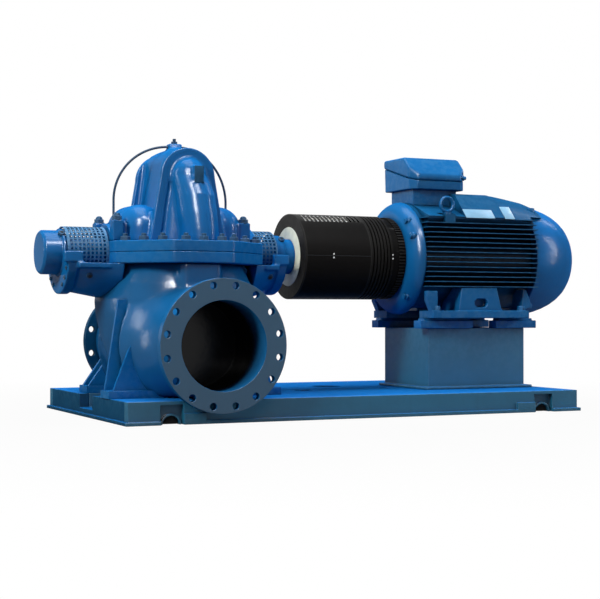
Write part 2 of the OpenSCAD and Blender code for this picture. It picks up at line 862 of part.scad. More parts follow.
// Plan of the terminal box and lid, with their front corners cut off
module terminal_plan(inset) {
  x0 = term_x0 + inset;
  x1 = term_x1 - inset;
  translate([0, 0, shaft_z + term_z]) linear_extrude(200)
    polygon([[x0, term_w], [x0, lid_cut - term_w], [x0 + lid_cut, -term_w], [x1 - lid_cut, -term_w],
      [x1, lid_cut - term_w], [x1, term_w]]);
}

module terminal_box() {
  color(blue) at_pump() intersection() {
    slice_x(term_x0 + 4, term_x1 - 4)
      polygon([[9 - term_w, term_z], [term_w - 9, term_z], [term_w - 4, term_z + 107], [4 - term_w, term_z + 38]]);
    terminal_plan(4);
  }
}

module terminal_lid() {
  color(blue) at_pump() intersection() {
    slice_x(term_x0, term_x1)
      polygon([[-term_w, term_z + 37], [term_w, term_z + 108], [term_w, term_z + 146], [24 - term_w / 2, term_z + 146],
        [12 - term_w / 2, term_z + 142], [-term_w, term_z + 66]]);
    terminal_plan(0);
  }
}

module motor_eye() {
  color(blue) at_pump() translate([eye_x, -222, shaft_z + eye_z]) {
    cylinder(r = 18, h = 8);
    translate([0, 0, 42]) rotate([90, 0, 0]) rotate_extrude() translate([31, 0]) circle(8);
  }
}

base_deck();
base_front_wall();
base_rear_wall();
base_left_wall();
base_right_wall();
base_trough();
pump_lower_casing();
suction_nozzle();
discharge_nozzle();
lower_split_flange();
upper_split_flange();
pump_upper_casing();
foot_front_left();
foot_rear_left();
foot_front_right();
foot_rear_right();
bracket_outboard();
bracket_inboard();
bearing_outboard();
bearing_inboard();
seal_mesh_outboard();
seal_mesh_inboard();
vent_plug();
flush_tube_left();
flush_tube_right();
guard_shell();
guard_bellows();
guard_end_ring();
guard_end_liner();
pedestal();
slab_front_left();
slab_front_right();
slab_rear_left();
slab_rear_right();
motor_frame();
motor_drive_end();
motor_fan_cowl();
motor_foot_front();
motor_foot_rear();
terminal_plinth();
terminal_box();
terminal_lid();
motor_eye();
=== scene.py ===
import json
import math
import random
import bmesh
import bpy
from mathutils import Matrix, Vector


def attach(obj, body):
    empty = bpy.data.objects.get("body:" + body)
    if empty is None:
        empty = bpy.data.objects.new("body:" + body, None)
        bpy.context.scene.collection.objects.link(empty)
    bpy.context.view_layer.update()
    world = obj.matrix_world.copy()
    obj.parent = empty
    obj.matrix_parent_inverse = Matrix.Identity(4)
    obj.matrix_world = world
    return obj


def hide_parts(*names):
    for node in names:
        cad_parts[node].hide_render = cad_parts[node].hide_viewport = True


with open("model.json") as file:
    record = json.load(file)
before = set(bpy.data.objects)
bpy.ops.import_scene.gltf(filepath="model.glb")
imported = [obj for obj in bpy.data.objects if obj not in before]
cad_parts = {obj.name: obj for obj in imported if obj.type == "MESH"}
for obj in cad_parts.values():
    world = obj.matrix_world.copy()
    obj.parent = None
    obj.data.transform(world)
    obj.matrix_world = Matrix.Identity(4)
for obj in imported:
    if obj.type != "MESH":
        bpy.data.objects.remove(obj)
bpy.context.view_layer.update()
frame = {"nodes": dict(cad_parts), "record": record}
nodes = frame["nodes"]
scene = bpy.context.scene
random.seed(7)

# Main sizes in millimetres, measured from the nozzle line, the shaft plane and the floor
PUMP_X = 660
SHAFT_Z = 670
NOZZLE_Z = 300
SPLIT_TOP = SHAFT_Z + 45
SUCTION_FACE = 570
DISCHARGE_FACE = 557
FLANGE_T = 32


def at(x, y, z):
    """A point in millimetres from the nozzle line, as a place in the frame in metres."""
    return Vector(((x - PUMP_X) / 1000, y / 1000, z / 1000))


# Camera at the photograph's place

CAMERA_PLACE = (-2.662, -5.5714, 0.4297)
CAMERA_PITCH = 90.508
CAMERA_YAW = -24.869
camera_data = bpy.data.cameras.new("camera")
camera_data.lens = 84.6
camera_data.sensor_width = 36
camera_data.clip_end = 60
camera = bpy.data.objects.new("camera", camera_data)
camera.location = CAMERA_PLACE
camera.rotation_euler = (math.radians(CAMERA_PITCH), 0, math.radians(CAMERA_YAW))
scene.collection.objects.link(camera)
scene.camera = camera
scene.view_settings.view_transform = "Standard"


# Material building

# Where the flange faces and the painted shade inside the nozzles begin and end, in metres
FACE_REACH = (0.52, 0.545)
BORE_SHADE_RADII = (0.178, 0.182)
BORE_SHADE_DEPTHS = (0.555, 0.42)


class Paint:
    """Node tree of one material, with short ways to add its nodes."""

    def __init__(self, name):
        self.material = bpy.data.materials.new(name)
        self.material.use_nodes = True
        self.nodes = self.material.node_tree.nodes
        self.links = self.material.node_tree.links
        self.shader = self.nodes["Principled BSDF"]
        self.place = self.add("ShaderNodeTexCoord").outputs["Object"]

    def add(self, kind, **values):
        node = self.nodes.new(kind)
        for key, value in values.items():
            setattr(node, key, value)
        return node

    def noise(self, scale, detail=4, rough=0.55, stretch=None):
        node = self.add("ShaderNodeTexNoise")
        node.inputs["Scale"].default_value = scale
        node.inputs["Detail"].default_value = detail
        node.inputs["Roughness"].default_value = rough
        place = self.place
        if stretch:
            mapping = self.add("ShaderNodeMapping")
            mapping.inputs["Scale"].default_value = stretch
            self.links.new(place, mapping.inputs["Vector"])
            place = mapping.outputs["Vector"]
        self.links.new(place, node.inputs["Vector"])
        return node.outputs["Fac"]

    def ramp(self, value, low, high, low_out=0.0, high_out=1.0):
        node = self.add("ShaderNodeMapRange")
        ends = {"From Min": low, "From Max": high, "To Min": low_out, "To Max": high_out}
        for key, number in ends.items():
            node.inputs[key].default_value = number
        self.links.new(value, node.inputs["Value"])
        return node.outputs["Result"]

    def math(self, operation, first, second):
        node = self.add("ShaderNodeMath", operation=operation)
        for socket, value in zip(node.inputs, (first, second)):
            if isinstance(value, (int, float)):
                socket.default_value = value
            else:
                self.links.new(value, socket)
        return node.outputs["Value"]

    def mix(self, share, first, second):
        node = self.add("ShaderNodeMix", data_type="RGBA")
        self.links.new(share, node.inputs["Factor"])
        for socket, value in ((node.inputs[6], first), (node.inputs[7], second)):
            if isinstance(value, tuple):
                socket.default_value = (*value, 1)
            else:
                self.links.new(value, socket)
        return node.outputs[2]

    def edges(self, low=0.52, high=0.62):
        return self.ramp(self.add("ShaderNodeNewGeometry").outputs["Pointiness"], low, high)

    # Share of painted shade in corners and gaps, found by ambient occlusion
    def crevice(self, reach=0.03):
        node = self.add("ShaderNodeAmbientOcclusion", samples=6)
        node.inputs["Distance"].default_value = reach
        return self.ramp(node.outputs["AO"], 0.35, 0.95, 1.0, 0.0)

    def parted(self, output):
        """The three parts of one of the surface's own vectors."""
        split = self.add("ShaderNodeSeparateXYZ")
        self.links.new(self.add("ShaderNodeNewGeometry").outputs[output], split.inputs[0])
        return split.outputs

    def machined(self):
        """Share of a flange's outer face: it looks along the nozzle line, away from the shaft."""
        outward = self.math("MULTIPLY", self.parted("Normal")["Y"], self.parted("Position")["Y"])
        return self.ramp(outward, *FACE_REACH)

    def bore_shade(self):
        """Share of the painted shade inside the nozzles' bores, which grows with the depth."""
        place = self.parted("Position")
        across = self.math("ADD", place["X"], PUMP_X / 1000)
        rise = self.math("SUBTRACT", place["Z"], NOZZLE_Z / 1000)
        across_squared = self.math("MULTIPLY", across, across)
        rise_squared = self.math("MULTIPLY", rise, rise)
        reach = self.math("ADD", across_squared, rise_squared)
        wall, clear = BORE_SHADE_RADII
        inside = self.ramp(reach, wall ** 2, clear ** 2, 1.0, 0.0)
        depth = self.ramp(self.math("ABSOLUTE", place["Y"], 0), *BORE_SHADE_DEPTHS)
        return self.math("MULTIPLY", inside, depth)

    def bump(self, height, distance, strength=1.0, under=None):
        node = self.add("ShaderNodeBump")
        node.inputs["Distance"].default_value = distance
        node.inputs["Strength"].default_value = strength
        self.links.new(height, node.inputs["Height"])
        if under:
            self.links.new(under, node.inputs["Normal"])
        return node.outputs["Normal"]

    def finish(self, color, rough, normal):
        self.links.new(color, self.shader.inputs["Base Color"])
        self.links.new(rough, self.shader.inputs["Roughness"])
        self.links.new(normal, self.shader.inputs["Normal"])
        return self.material


# Painted light: faces turned up get this brighter blue, as if lit from above
LIT_TOP_COLOR = (0.004, 0.145, 0.50)
FACE_COLOR = (0.05, 0.115, 0.21)
# Painted shade deep inside the nozzles' bores
BORE_SHADE_COLOR = (0.0, 0.001, 0.003)
COAT_IOR = 3.5


def dimmed(color, share):
    """A colour with a share of its light."""
    return tuple(share * c for c in color)


def enamel(name, color, worn, rough=0.22, cast=1.0, deep=0.025, dark=0.45, coat=0.035,
           nozzle=False, top=None):
    """Semi-gloss paint: cloudy colour, orange peel, cast lumps, painted shade in corners and rubbed edges.

    worn is the colour of rubbed edges and top that of level faces, a painted light on faces turned up,
    cast is the height of the lumps, deep and dark are the reach and the strength of the painted shade
    in corners, and coat is the share of the clear skin.
    """
    paint = Paint(name)
    cloud = paint.ramp(paint.noise(scale=5.0, detail=5), 0.35, 0.68)
    body = paint.mix(cloud, dimmed(color, 0.84), color)
    streaks = paint.noise(scale=9.0, detail=6, rough=0.6, stretch=(3.0, 3.0, 0.5))
    drips = paint.ramp(streaks, 0.56, 0.78, 0.0, 0.25)
    body = paint.mix(drips, body, dimmed(color, 0.65))
    # Painted light: faces turned up take the brighter top colour
    if top:
        level = paint.ramp(paint.parted("Normal")["Z"], 0.75, 0.95)
        body = paint.mix(level, body, top)
    # Painted shade: darker in corners and gaps
    corner_shade = paint.math("MULTIPLY", paint.crevice(deep), dark)
    body = paint.mix(corner_shade, body, dimmed(color, 0.12))
    rub = paint.math("MULTIPLY", paint.edges(), paint.ramp(paint.noise(scale=34.0), 0.42, 0.6))
    body = paint.mix(paint.math("MULTIPLY", rub, 0.45), body, worn)
    # Nozzles: the machined flange face, and painted shade deep in the bores
    if nozzle:
        body = paint.mix(paint.machined(), body, FACE_COLOR)
        body = paint.mix(paint.bore_shade(), body, BORE_SHADE_COLOR)
    gloss = paint.ramp(paint.noise(scale=13.0, detail=6), 0.3, 0.7, 0.4, 0.55)
    lumps = paint.bump(paint.noise(scale=26.0, detail=3), 0.0014 * cast, 0.5)
    peel = paint.bump(paint.noise(scale=240.0, detail=2), 0.0003, 0.4, lumps)
    sockets = paint.shader.inputs
    paint.links.new(peel, sockets["Coat Normal"])
    sockets["Specular IOR Level"].default_value = 0.0
    sockets["Coat Weight"].default_value = coat
    sockets["Coat IOR"].default_value = COAT_IOR
    sockets["Coat Roughness"].default_value = rough
    return paint.finish(body, gloss, peel)


def plain(name, color, rough, metal=0.0, grain=60.0, depth=0.0006, shine=0.25):
    """A small-part finish with grain, faint colour change, painted shade in its corners and a painted
    highlight on its edges.
    """
    paint = Paint(name)
    cloud = paint.ramp(paint.noise(scale=18.0, detail=5), 0.3, 0.7)
    body = paint.mix(cloud, dimmed(color, 0.75), color)
    # Painted shade: darker in corners and gaps
    corner_shade = paint.math("MULTIPLY", paint.crevice(0.012), 0.5)
    body = paint.mix(corner_shade, body, dimmed(color, 0.3))
    # Painted highlight: every edge turns paler
    edge_gleam = tuple(min(1.0, 0.12 + 1.5 * c) for c in color)
    body = paint.mix(paint.math("MULTIPLY", paint.edges(), 0.25), body, edge_gleam)
    gloss = paint.ramp(paint.noise(scale=grain, detail=4), 0.3, 0.7, rough - 0.06, rough + 0.08)
    normal = paint.bump(paint.noise(scale=grain * 3, detail=3), depth, 0.5)
    paint.shader.inputs["Metallic"].default_value = metal
    paint.shader.inputs["Specular IOR Level"].default_value = shine
    return paint.finish(body, gloss, normal)


LOOKS = {
    "blue_enamel": enamel("blue_enamel", (0.004, 0.128, 0.40), (0.07, 0.22, 0.42)),
    # Painted shade: the pump blue darkened for the lower casing and suction nozzle, which also carry the
    # machined face and the painted shade in the bores
    "nozzle_blue": enamel("nozzle_blue", (0.007, 0.105, 0.30), (0.07, 0.20, 0.36), coat=0.05, nozzle=True),
    # Painted shade: a much darker nozzle blue for the discharge nozzle, which stands in shadow
    "shaded_far_blue": enamel("shaded_far_blue", (0.003, 0.048, 0.125), (0.04, 0.14, 0.26), coat=0.02, nozzle=True),
    # The base blues take the painted lit top colour on faces turned up
    "base_blue": enamel("base_blue", (0.012, 0.125, 0.25), (0.06, 0.20, 0.36), rough=0.4, cast=0.5,
                        coat=0.08, top=LIT_TOP_COLOR),
    # Painted shade: the base blue darkened on its left end wall
    "shaded_end_blue": enamel("shaded_end_blue", (0.005, 0.065, 0.16), (0.04, 0.14, 0.26), rough=0.4, cast=0.5,
                       coat=0.02, top=LIT_TOP_COLOR),
    # Painted light: the deck takes the brighter lit top colour all over
    "lit_deck_blue": enamel("lit_deck_blue", LIT_TOP_COLOR, (0.06, 0.20, 0.38), rough=0.4, cast=0.5, coat=0.01),
    "motor_blue": enamel("motor_blue", (0.005, 0.112, 0.33), (0.06, 0.19, 0.37), rough=0.24, cast=0.6),
    # Painted shade: the motor blue darkened on the finned frame, with strong painted shade between the fins
    "shaded_fin_blue": enamel("shaded_fin_blue", (0.003, 0.080, 0.215), (0.05, 0.18, 0.34), rough=0.34, cast=0.4,
                       deep=0.05, dark=0.92),
    "mesh_blue": plain("mesh_blue", (0.025, 0.14, 0.31), 0.4, shine=0.06),
    "guard_black": plain("guard_black", (0.003, 0.0027, 0.0027), 0.5, grain=90.0, depth=0.0004, shine=0.03),
    "guard_grey": plain("guard_grey", (0.005, 0.0045, 0.0045), 0.55, shine=0.03),
    "liner_cream": plain("liner_cream", (0.76, 0.79, 0.64), 0.5),
    "sleeve_grey": plain("sleeve_grey", (0.85, 0.85, 0.86), 0.6, shine=0.05),
    # Painted shade: a dark blue for the plate on the boss's front
    "boss_shade_blue": plain("boss_shade_blue", (0.012, 0.078, 0.18), 0.4, shine=0.0),
    "dark_fitting": plain("dark_fitting", (0.008, 0.050, 0.12), 0.38, shine=0.08),
    "fastener": plain("fastener", (0.007, 0.065, 0.16), 0.36, shine=0.04),
    "bright_screw": plain("bright_screw", (0.45, 0.47, 0.48), 0.35, metal=0.6),
    "plate": plain("plate", (0.16, 0.34, 0.52), 0.35, grain=40.0, depth=0.0003),
    # Near black: painted shade in the screw sockets, the base's holes and under its deck, and the guard's
    # dark seam
    "void": plain("void", (0.002, 0.004, 0.008), 0.8, shine=0.05),
}
# Looks of single nodes. Painted shade: the darker blues on the finned frame, the nozzles and the left end
# wall. Painted light: the lit top blue all over the deck, and the pump's brighter blue on the fan cowl.
OWN_LOOKS = {
    "motor_frame": "shaded_fin_blue",
    "motor_fan_cowl": "blue_enamel",
    "suction_nozzle": "nozzle_blue",
    "discharge_nozzle": "shaded_far_blue",
    "base_deck": "lit_deck_blue",
    "base_left_wall": "shaded_end_blue",
    "pedestal": "base_blue",
}
for part in frame["record"]["subparts"]:
    look = OWN_LOOKS.get(part["node"], part["material_slot"])
    for holder in nodes[part["node"]].material_slots:
        holder.material = LOOKS[look]


# Geometry building

# Points nearer than this in metres become one, and faces turned by less than this in degrees are flat
WELD_REACH = 0.00002
FLAT_TURN = 1.2


def soften(name, width, segments=2, angle=38):
    """Rounds the edges of a CAD node with modifiers."""
    shown = nodes[name]
    weld = shown.modifiers.new("weld", "WELD")
    weld.merge_threshold = WELD_REACH
    flat = shown.modifiers.new("flat", "DECIMATE")
    flat.decimate_type = "DISSOLVE"
    flat.angle_limit = math.radians(FLAT_TURN)
    bevel = shown.modifiers.new("bevel", "BEVEL")
    bevel.width = width / 1000
    bevel.segments = segments
    bevel.limit_method = "ANGLE"
    bevel.angle_limit = math.radians(angle)
    bevel.use_clamp_overlap = True
    normals = shown.modifiers.new("normals", "WEIGHTED_NORMAL")
    normals.weight = 60
    for face in shown.data.polygons:
        face.use_smooth = True


def piece(name, bm, look, smooth=35, replace=()):
    """A finished scene piece from a bmesh, riding on the frame."""
    bmesh.ops.recalc_face_normals(bm, faces=bm.faces)
    mesh = bpy.data.meshes.new(name)
    bm.to_mesh(mesh)
    bm.free()
    for face in mesh.polygons:
        face.use_smooth = True
    mesh.set_sharp_from_angle(angle=math.radians(smooth))
    mesh.materials.append(LOOKS[look])
    made = bpy.data.objects.new(name, mesh)
    scene.collection.objects.link(made)
    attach(made, "root")
    if replace:
        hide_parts(*replace)
    return made


def turned(bm, place, axis, profile, sides=24, spin=0.0):
    """A closed solid of revolution from (height, radius) points in mm along an axis.

    Six sides make a hexagon.
    """
    turn = Vector(axis).to_track_quat("Z", "Y").to_matrix().to_4x4()
    move = Matrix.Translation(place) @ turn
    rings = []
    for height, radius in profile:
        if radius <= 0:
            rings.append([bm.verts.new(move @ Vector((0, 0, height / 1000)))])
            continue
        ring = []
        for i in range(sides):
            a = 2 * math.pi * i / sides + spin
            spot = Vector((radius * math.cos(a) / 1000, radius * math.sin(a) / 1000, height / 1000))
            ring.append(bm.verts.new(move @ spot))
        rings.append(ring)
    for low, high in zip(rings, rings[1:]):
        for i in range(sides):
            j = (i + 1) % sides
            corners = [low[i % len(low)], low[j % len(low)], high[j % len(high)], high[i % len(high)]]
            corners = list(dict.fromkeys(corners))
            if len(corners) > 2:
                bm.faces.new(corners)


def block(bm, low, high, bevel=1.5, turn=None):
    """A box between two corners with rounded edges, turned about its middle by a matrix."""
    middle = (Vector(low) + Vector(high)) / 2
    size = Vector(high) - Vector(low)
    made = bmesh.ops.create_cube(bm, size=1.0)["verts"]
    grow = Matrix.Diagonal((*size, 1))
    spin = turn.to_4x4() if turn else Matrix.Identity(4)
    bmesh.ops.transform(bm, matrix=Matrix.Translation(middle) @ spin @ grow, verts=made)
    edges = list({e for v in made for e in v.link_edges})
    bmesh.ops.bevel(bm, geom=edges, offset=bevel / 1000, segments=2, profile=0.5, affect="EDGES")


def head(radius, height, drop, inset):
    """Profile of a round head in mm, with its upper edge cut off."""
    return [(0, 0), (0, radius), (height - drop, radius), (height, radius - inset), (height, 0)]


def dimple(radius, height, top):
    """Profile of a low cone in mm, cut off at its top radius."""
    return [(0, 0), (0, radius), (height, top), (height, 0)]


def hex_nut(bm, place, axis, across, height, spin=0.0):
    radius = across / math.sqrt(3)
    turned(bm, place, axis, head(radius, height, 0.14 * height, 0.12 * radius), sides=6, spin=spin)


def stud_end(bm, place, axis, radius, height):
    turned(bm, place, axis, head(radius, height, drop=2, inset=2), sides=16)


def washer(bm, place, axis, radius, height=4):
    turned(bm, place, axis, head(radius, height, drop=1, inset=1), sides=24)


def copied(*names):
    """One bmesh holding copies of CAD nodes."""
    bm = bmesh.new()
    for name in names:
        bm.from_mesh(nodes[name].data)
    bmesh.ops.remove_doubles(bm, verts=bm.verts, dist=WELD_REACH)
    return bm


def cast(made, voxel, swell, relax):
    """Melts a piece into one casting with fillets in its inner corners."""
    def remesh(name):
        step = made.modifiers.new(name, "REMESH")
        step.mode = "VOXEL"
        step.voxel_size = voxel / 1000
        step.use_smooth_shade = True

    def displace(name, reach):
        step = made.modifiers.new(name, "DISPLACE")
        step.strength = reach / 1000
        step.mid_level = 0

    remesh("skin")
    displace("swell", swell)
    remesh("fill")
    displace("shrink", -swell)
    smooth = made.modifiers.new("relax", "SMOOTH")
    smooth.factor = 0.5
    smooth.iterations = relax


# Upper casing, with the volute fingers and the boss on the front one

# Level ovals in mm: height above the shaft, across, out from the shaft plane, half width, half depth
FINGER = ((45, 34, 213, 76, 76), (90, 33, 208, 79, 79), (160, 28, 196, 83, 83), (235, 22, 182, 83, 83),
          (285, 11, 166, 79, 79), (316, 2, 155, 74, 74))
FINGER_WALL = ((45, 2, 150, 114, 46), (160, 2, 150, 101, 44), (235, 2, 150, 91, 40), (300, 0, 150, 80, 30))
OVAL_SIDES = 48
DOME_STEPS = 7
HOOD_FRONT = 170.5
BOSS_LEFT, BOSS_RIGHT = -3, 40
BOSS_FRONT, BOSS_BACK = -246, -180
BOSS_LOW, BOSS_HIGH = SHAFT_Z + 280, SHAFT_Z + 352
BOSS_EDGE = 2


def bulge(bm, side, levels):
    """A rounded bulge through level ovals, domed above the last of them."""
    height, across, out, half_wide, half_deep = levels[-1]
    ovals = list(levels)
    for step in range(1, DOME_STEPS + 1):
        turn = step * math.pi / (2 * DOME_STEPS + 1)
        shrink = math.cos(turn)
        rise = half_wide * math.sin(turn)
        ovals.append((height + rise, across, out, half_wide * shrink, half_deep * shrink))
    loops = []
    for height, across, out, half_wide, half_deep in ovals:
        loop = []
        for i in range(OVAL_SIDES):
            a = 2 * math.pi * i / OVAL_SIDES
            x = across + half_wide * math.cos(a)
            y = side * (out + half_deep * math.sin(a))
            loop.append(bm.verts.new(at(x, y, SHAFT_Z + height)))
        loops.append(loop)
    for low, high in zip(loops, loops[1:]):
        for i in range(OVAL_SIDES):
            j = (i + 1) % OVAL_SIDES
            bm.faces.new((low[i], low[j], high[j], high[i]))
    bm.faces.new(loops[0])
    bm.faces.new(loops[-1])


def trim(bm, side):
    """Cuts off what stands out from the hood's arch rib on one side, and closes the cut."""
    everything = [*bm.verts, *bm.edges, *bm.faces]
    cut = bmesh.ops.bisect_plane(bm, geom=everything, dist=0.00001, plane_co=at(0, side * HOOD_FRONT, 0),
                                 plane_no=(0, side, 0), clear_outer=True)
    rim = [part for part in cut["geom_cut"] if isinstance(part, bmesh.types.BMEdge)]
    bmesh.ops.holes_fill(bm, edges=rim, sides=0)


upper = copied("pump_upper_casing")
for side in (-1, 1):
    trim(upper, side)
for side in (-1, 1):
    bulge(upper, side, FINGER)
    bulge(upper, side, FINGER_WALL)
block(upper, at(BOSS_LEFT, BOSS_FRONT, BOSS_LOW), at(BOSS_RIGHT, BOSS_BACK, BOSS_HIGH), BOSS_EDGE)
upper_cast = piece("casing_upper_cast", upper, "blue_enamel", smooth=180,
                   replace=("pump_upper_casing",))
cast(upper_cast, voxel=3.8, swell=7, relax=3)


# Lower casing, which covers the nozzle necks up to the flanges, and the bearing brackets

NECK_LENGTH = 170
NECK_SUNK = 8
NECKS = ((-1, SUCTION_FACE, 185, 206), (1, DISCHARGE_FACE, 160, 181))
lower = copied("pump_lower_casing")
for side, face, inner, outer in NECKS:
    cover = [(0, inner), (0, outer), (NECK_LENGTH, outer), (NECK_LENGTH, inner), (0, inner)]
    turned(lower, at(0, side * (face - FLANGE_T + NECK_SUNK), NOZZLE_Z), (0, -side, 0), cover, sides=96)
bmesh.ops.remove_doubles(lower, verts=lower.verts, dist=WELD_REACH)
lower_cast = piece("casing_lower_cast", lower, "nozzle_blue", smooth=180,
                   replace=("pump_lower_casing",))
cast(lower_cast, voxel=6.6, swell=12, relax=4)

for end in ("outboard", "inboard"):
    shell = copied("bracket_" + end)
    bracket = piece("bracket_cast_" + end, shell, "blue_enamel", smooth=180,
                    replace=("bracket_" + end,))
    cast(bracket, voxel=3.2, swell=5, relax=2)


# Rounded edges of the other nodes, by width in mm

EDGE_WIDTHS = {
    4.0: ("lower_split_flange", "upper_split_flange", "bearing_outboard", "bearing_inboard"),
    3.0: ("suction_nozzle", "discharge_nozzle", "pedestal", "terminal_plinth",
          "foot_front_left", "foot_rear_left", "foot_front_right", "foot_rear_right",
          "slab_front_left", "slab_front_right", "slab_rear_left", "slab_rear_right",
          "base_deck", "base_trough",
          "base_front_wall", "base_rear_wall", "base_left_wall", "base_right_wall"),
    4.5: ("motor_drive_end", "motor_fan_cowl", "terminal_box", "motor_foot_front", "motor_foot_rear"),
    10.0: ("terminal_lid",),
    1.5: ("motor_frame", "guard_bellows", "guard_end_ring", "guard_end_liner", "vent_plug"),
}
for width, names in EDGE_WIDTHS.items():
    for name in names:
        soften(name, width)


# Nuts and bolts of the pump

UP = (0, 0, 1)
PAD_TOP = SPLIT_TOP + 85
PAD_XS = (-288, 262)
PAD_YS = (-122, 122)
FRONT_NUTS = ((-284, -93), (-267, -169), (-209, -227), (-150, -286), (-65, -320), (11, -320), (88, -320),
              (153, -286), (229, -219), (301, -155))
DOME = [(0, 0), (0, 14), (8, 14), (13, 11), (16, 6), (17, 0)]


def mirrored(places):
    """The same places on both sides of the shaft plane."""
    return [(x, side * y) for x, y in places for side in (1, -1)]


nuts = bmesh.new()
for x, y in mirrored(FRONT_NUTS):
    spin = random.uniform(0, 1)
    washer(nuts, at(x, y, SPLIT_TOP - 1), UP, radius=22)
    hex_nut(nuts, at(x, y, SPLIT_TOP + 2), UP, across=34, height=16, spin=spin)
    stud_end(nuts, at(x, y, SPLIT_TOP + 12), UP, radius=10, height=17)
piece("split_flange_nuts", nuts, "fastener")

caps = bmesh.new()
for x in PAD_XS:
    for y in PAD_YS:
        washer(caps, at(x, y, PAD_TOP - 1), UP, radius=23)
        spin = random.uniform(0, 1)
        hex_nut(caps, at(x, y, PAD_TOP + 2), UP, across=36, height=15, spin=spin)
        turned(caps, at(x, y, PAD_TOP + 13), UP, DOME, sides=20)
piece("pad_bolts", caps, "fastener")

# Painted shade: a dark plate on the boss's front face, where it stands in shade
FACE_STANDS = 2.5
boss = bmesh.new()
face_low = at(BOSS_LEFT + BOSS_EDGE, BOSS_FRONT - FACE_STANDS, BOSS_LOW + BOSS_EDGE)
face_high = at(BOSS_RIGHT - BOSS_EDGE, BOSS_FRONT + BOSS_EDGE, BOSS_HIGH - BOSS_EDGE)
block(boss, face_low, face_high, 1.5)
piece("boss_shade_face", boss, "boss_shade_blue")


# Screws of the bearing housings and brackets

def around(x, radius, turn):
    """A place round the shaft and its outward direction; turn is in degrees from the top to the front."""
    a = math.radians(turn)
    out = Vector((0, -math.sin(a), math.cos(a)))
    return at(x, 0, SHAFT_Z) + out * radius / 1000, out


LEFT = Vector((-1, 0, 0))
HOUSING_SCREWS = ((-497, 91, 38), (-497, 91, -38), (466, 86, 39), (466, 86, -39))
BRACKET_SCREWS = ((-404, 164, 125), (-404, 164, -125), (378, 164, 124), (378, 164, -124))
RIM_SCREWS = [(-495, 148, turn) for turn in (-152, -134, -116, 116, 134, 152)]
screws = bmesh.new()
sockets = bmesh.new()


def socket_screw(place, out, shape, shade_cone, rise, sides, hollow_sides):
    """A screw head with a dark cone on it as painted shade of its socket, which begins a rise in metres above
    the head's foot.
    """
    turned(screws, place, out, shape, sides)
    turned(sockets, place + out * rise, out, shade_cone, hollow_sides)


for spot in HOUSING_SCREWS:
    place, out = around(*spot)
    socket_screw(place, out, head(14, 10, 2, 2), dimple(7, 1.5, 6), rise=0.0095, sides=20, hollow_sides=12)
for spot in BRACKET_SCREWS:
    place, out = around(*spot)
    socket_screw(place, out, head(13, 7.5, 1.5, 2), dimple(8, 1.6, 7), rise=0.007, sides=20, hollow_sides=12)
for spot in RIM_SCREWS:
    place = around(*spot)[0]
    socket_screw(place, LEFT, head(9, 7, 2, 2), dimple(4, 1.2, 3.4), rise=0.0065, sides=16, hollow_sides=10)
piece("housing_screws", screws, "fastener")
# Painted shade: dark cones stand for the shaded sockets of the screws
piece("housing_socket_shade", sockets, "void")


# Coupling guard: a slit sheet over a pale sleeve, with its seam and pins

GUARD_ENDS = (527, 836)
GUARD_RADII = (185, 183)
GUARD_RIM = 4
SLIT_PITCH = 19.5
SLIT_HALF = 4.6
SLIT_FIRST = 560
SLIT_COUNT = 14
SLIT_WINDOWS = ((-36, -6), (6, 36))
SLEEVE_ENDS = (530, 774)
SLEEVE_RADII = (178, 176)
SEAM_ENDS = (524, 834)
SEAM_REACH = (184.2, 185.6)
SEAM_HALF = 1.2
PINS = ((654, 184.5, 7), (654, 184.5, -8), (940, 183.5, 8), (940, 183.5, -9))
PIN = [(0, 0), (0, 4), (2, 3.4), (2.6, 0)]


def vented_tube(bm, ends, radii, slits=(), windows=()):
    """A tube along the shaft with slits.

    A slit is a range along X in mm, and a window a range in degrees from the top to the front.
    """
    rims = (ends[0], ends[0] + GUARD_RIM, ends[1] - GUARD_RIM, ends[1])
    cuts_x = sorted({*rims, *(x for slit in slits for x in slit)})
    cuts_turn = sorted({*range(-180, 180, 3), *(turn for window in windows for turn in window)})
    count = len(cuts_turn)

    def ring(x, radius):
        return [bm.verts.new(around(x, radius, turn)[0]) for turn in cuts_turn]

    def spans(low, high, ranges):
        return any(a <= low and high <= b for a, b in ranges)

    outer = [ring(x, radii[0]) for x in cuts_x]
    inner = [ring(x, radii[1]) for x in cuts_x]
    turn_ends = cuts_turn[1:] + [180]
    solid = [[not (spans(x0, x1, slits) and spans(t0, t1, windows)) for t0, t1 in zip(cuts_turn, turn_ends)]
             for x0, x1 in zip(cuts_x, cuts_x[1:])]
    rows = len(solid)
    for i in range(rows):
        for j in range(count):
            k = (j + 1) % count
            if not solid[i][j]:
                continue
            bm.faces.new((outer[i][j], outer[i + 1][j], outer[i + 1][k], outer[i][k]))
            bm.faces.new((inner[i][j], inner[i][k], inner[i + 1][k], inner[i + 1][j]))
            if i == 0 or not solid[i - 1][j]:
                bm.faces.new((outer[i][j], outer[i][k], inner[i][k], inner[i][j]))
            if i == rows - 1 or not solid[i + 1][j]:
                bm.faces.new((outer[i + 1][j], inner[i + 1][j], inner[i + 1][k], outer[i + 1][k]))
            if not solid[i][j - 1]:
                bm.faces.new((outer[i][j], inner[i][j], inner[i + 1][j], outer[i + 1][j]))
            if not solid[i][k]:
                bm.faces.new((outer[i][k], outer[i + 1][k], inner[i + 1][k], inner[i][k]))
    loose = [v for v in bm.verts if not v.link_faces]
    bmesh.ops.delete(bm, geom=loose, context="VERTS")


